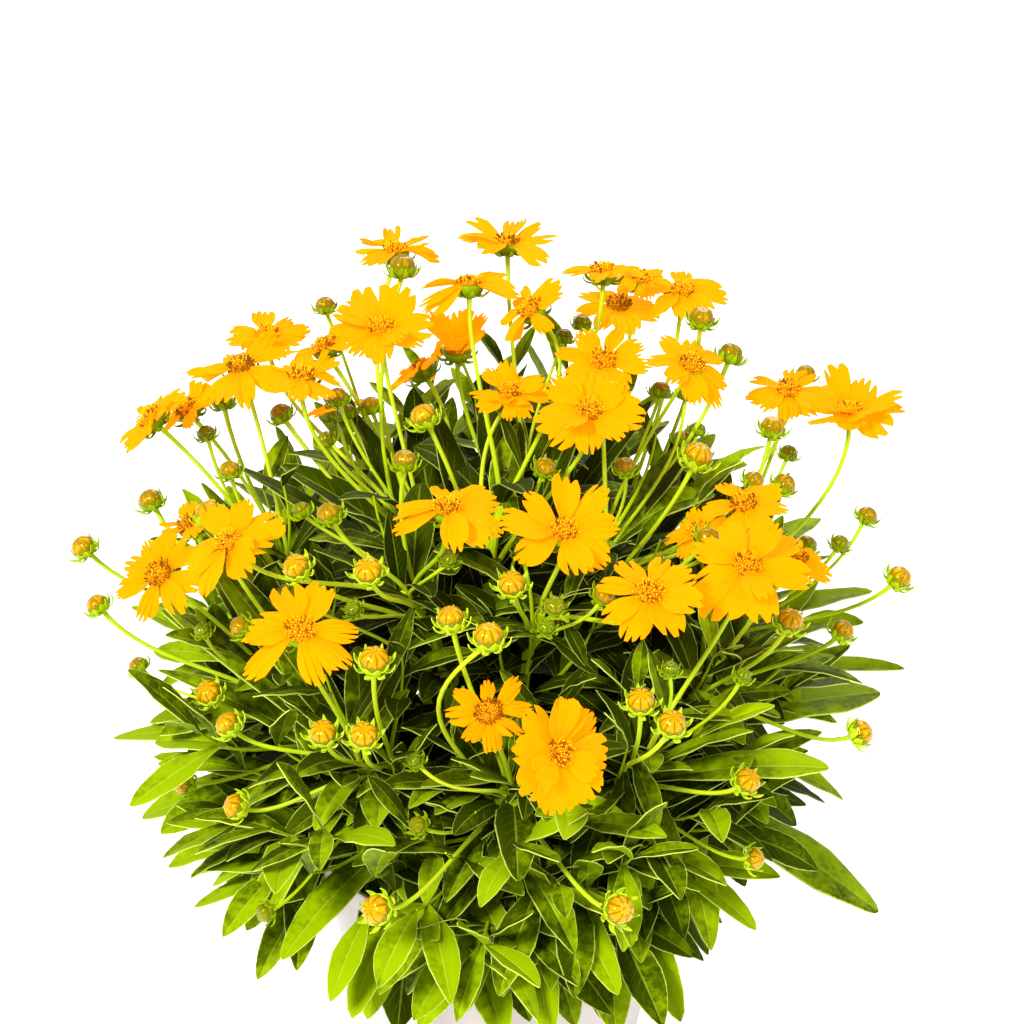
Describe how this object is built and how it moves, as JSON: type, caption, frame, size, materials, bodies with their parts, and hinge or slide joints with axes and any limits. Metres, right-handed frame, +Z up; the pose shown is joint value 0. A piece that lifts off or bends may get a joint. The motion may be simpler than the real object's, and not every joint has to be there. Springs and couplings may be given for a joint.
{
  "type": "potted coreopsis plant",
  "caption": "Bushy flowering perennial in a round nursery pot: leafy shoots carry bare stalks with yellow daisy-like blooms and round buds above narrow leaves.",
  "frame": {"origin": "centre of the pot's base, on the surface it stands on", "axes": "+Z up along the pot's axis, -Y towards the front of the plant, +X to the right seen from the front"},
  "size_m": [0.3841, 0.3497, 0.4094],
  "materials": {
    "pot": "smooth pale moulded plastic, slightly glossy",
    "soil": "dark crumbly peat, fully matte",
    "shoot": "fresh green leaf, satin above",
    "bloom": "soft velvety yellow petal"
  },
  "bodies": {
    "root": {"pot": "pot", "soil": "soil", "shoot_01": "shoot", "shoot_02": "shoot", "shoot_03": "shoot", "shoot_04": "shoot", "shoot_05": "shoot", "shoot_06": "shoot", "shoot_07": "shoot", "shoot_08": "shoot", "shoot_09": "shoot", "shoot_10": "shoot", "shoot_11": "shoot", "shoot_12": "shoot", "shoot_13": "shoot", "shoot_14": "shoot", "shoot_15": "shoot", "shoot_16": "shoot", "bloom_01": "bloom", "bloom_02": "bloom", "bloom_03": "bloom", "bloom_04": "bloom", "bloom_05": "bloom", "bloom_06": "bloom", "bloom_07": "bloom", "bloom_08": "bloom", "bloom_09": "bloom", "bloom_10": "bloom", "bloom_11": "bloom", "bloom_12": "bloom", "bloom_13": "bloom", "bloom_14": "bloom", "bloom_15": "bloom", "bloom_16": "bloom", "bloom_17": "bloom", "bloom_18": "bloom", "bloom_19": "bloom", "bloom_20": "bloom", "bloom_21": "bloom", "bloom_22": "bloom", "bloom_23": "bloom", "bloom_24": "bloom", "bloom_25": "bloom", "bloom_26": "bloom", "bloom_27": "bloom", "bloom_28": "bloom", "bloom_29": "bloom", "bloom_30": "bloom", "bloom_31": "bloom", "bloom_32": "bloom", "bloom_33": "bloom", "bloom_34": "bloom", "bloom_35": "bloom", "bloom_36": "bloom", "bloom_37": "bloom", "bloom_38": "bloom", "bloom_39": "bloom", "bloom_40": "bloom", "bloom_41": "bloom", "bloom_42": "bloom"}
  },
  "joints": []
}
